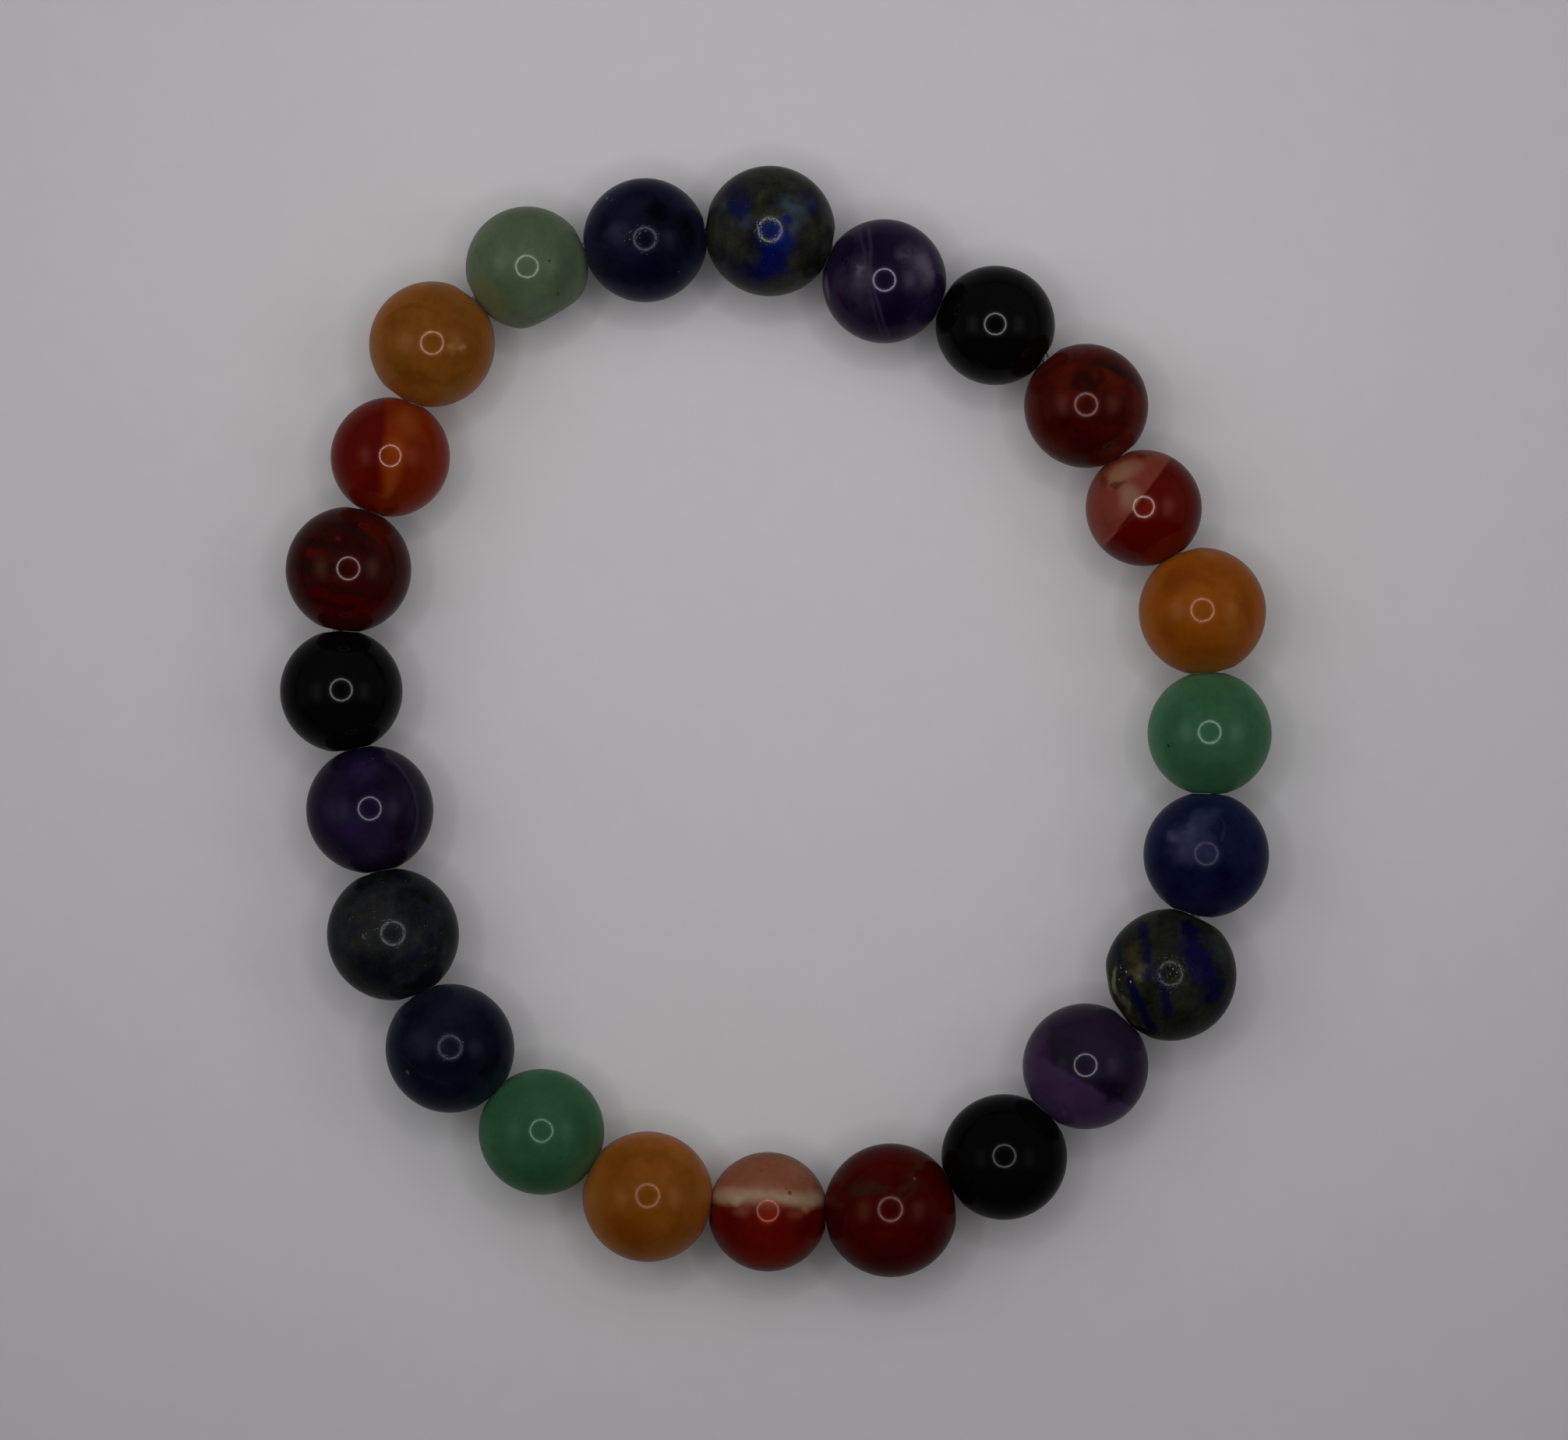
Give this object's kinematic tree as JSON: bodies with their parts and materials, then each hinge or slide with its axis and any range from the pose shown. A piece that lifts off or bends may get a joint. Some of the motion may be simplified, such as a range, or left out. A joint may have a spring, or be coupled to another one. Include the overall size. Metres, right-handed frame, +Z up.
{
  "type": "beaded crystal bracelet",
  "caption": "Stretch bracelet of round polished gemstone beads in a repeating order of colours, strung close together on a knotted elastic thread and lying flat as a closed loop.",
  "frame": {"origin": "centre of the loop's bounding box, on the surface that the beads rest on", "axes": "+Z up through the loop, along the wrist; +Y along the loop's longer diameter; +X along its shorter diameter"},
  "size_m": [0.0632, 0.0708, 0.0085],
  "materials": {
    "green_aventurine": "polished",
    "sodalite": "polished",
    "lapis_lazuli": "polished",
    "amethyst": "polished",
    "black_onyx": "polished",
    "red_jasper": "polished",
    "carnelian": "polished",
    "yellow_aventurine": "polished",
    "elastic": "satin"
  },
  "bodies": {
    "root": {"bead_01_green_aventurine": "green_aventurine", "bead_02_sodalite": "sodalite", "bead_03_lapis_lazuli": "lapis_lazuli", "bead_04_amethyst": "amethyst", "bead_05_black_onyx": "black_onyx", "bead_06_red_jasper": "red_jasper", "bead_07_carnelian": "carnelian", "bead_08_yellow_aventurine": "yellow_aventurine", "bead_09_green_aventurine": "green_aventurine", "bead_10_sodalite": "sodalite", "bead_11_lapis_lazuli": "lapis_lazuli", "bead_12_amethyst": "amethyst", "bead_13_black_onyx": "black_onyx", "bead_14_red_jasper": "red_jasper", "bead_15_carnelian": "carnelian", "bead_16_yellow_aventurine": "yellow_aventurine", "bead_17_green_aventurine": "green_aventurine", "bead_18_sodalite": "sodalite", "bead_19_lapis_lazuli": "lapis_lazuli", "bead_20_amethyst": "amethyst", "bead_21_black_onyx": "black_onyx", "bead_22_red_jasper": "red_jasper", "bead_23_carnelian": "carnelian", "bead_24_yellow_aventurine": "yellow_aventurine", "elastic_thread": "elastic", "thread_knot": "elastic"}
  },
  "joints": []
}
